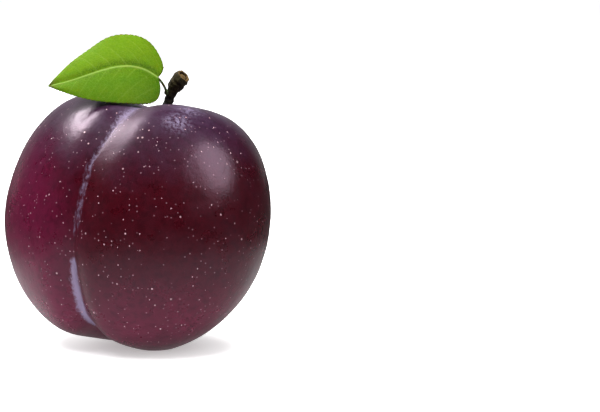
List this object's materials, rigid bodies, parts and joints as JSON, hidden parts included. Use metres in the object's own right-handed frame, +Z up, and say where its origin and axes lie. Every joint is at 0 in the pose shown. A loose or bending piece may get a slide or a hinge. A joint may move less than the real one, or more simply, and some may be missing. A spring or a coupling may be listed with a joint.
{
  "type": "plum",
  "caption": "Whole ripe dark plum with a swaying suture, a woody stem in its cavity and a fresh green leaf, resting on a small flat spot.",
  "frame": {"origin": "middle of the small flat spot under the fruit, on the surface that it rests on", "axes": "+Z up, away from the surface; -Y the side that shows the suture; -X the side that the leaf's tip points to"},
  "size_m": [0.0602, 0.0579, 0.0705],
  "materials": {
    "skin": "satin skin with a thin waxy bloom and pale dots",
    "bark": "rough dark bark with a pale scar",
    "leaf": "semi-gloss living leaf with a pale midrib"
  },
  "bodies": {
    "root": {"fruit": "skin", "stem": "bark", "leaf": "leaf"}
  },
  "joints": []
}
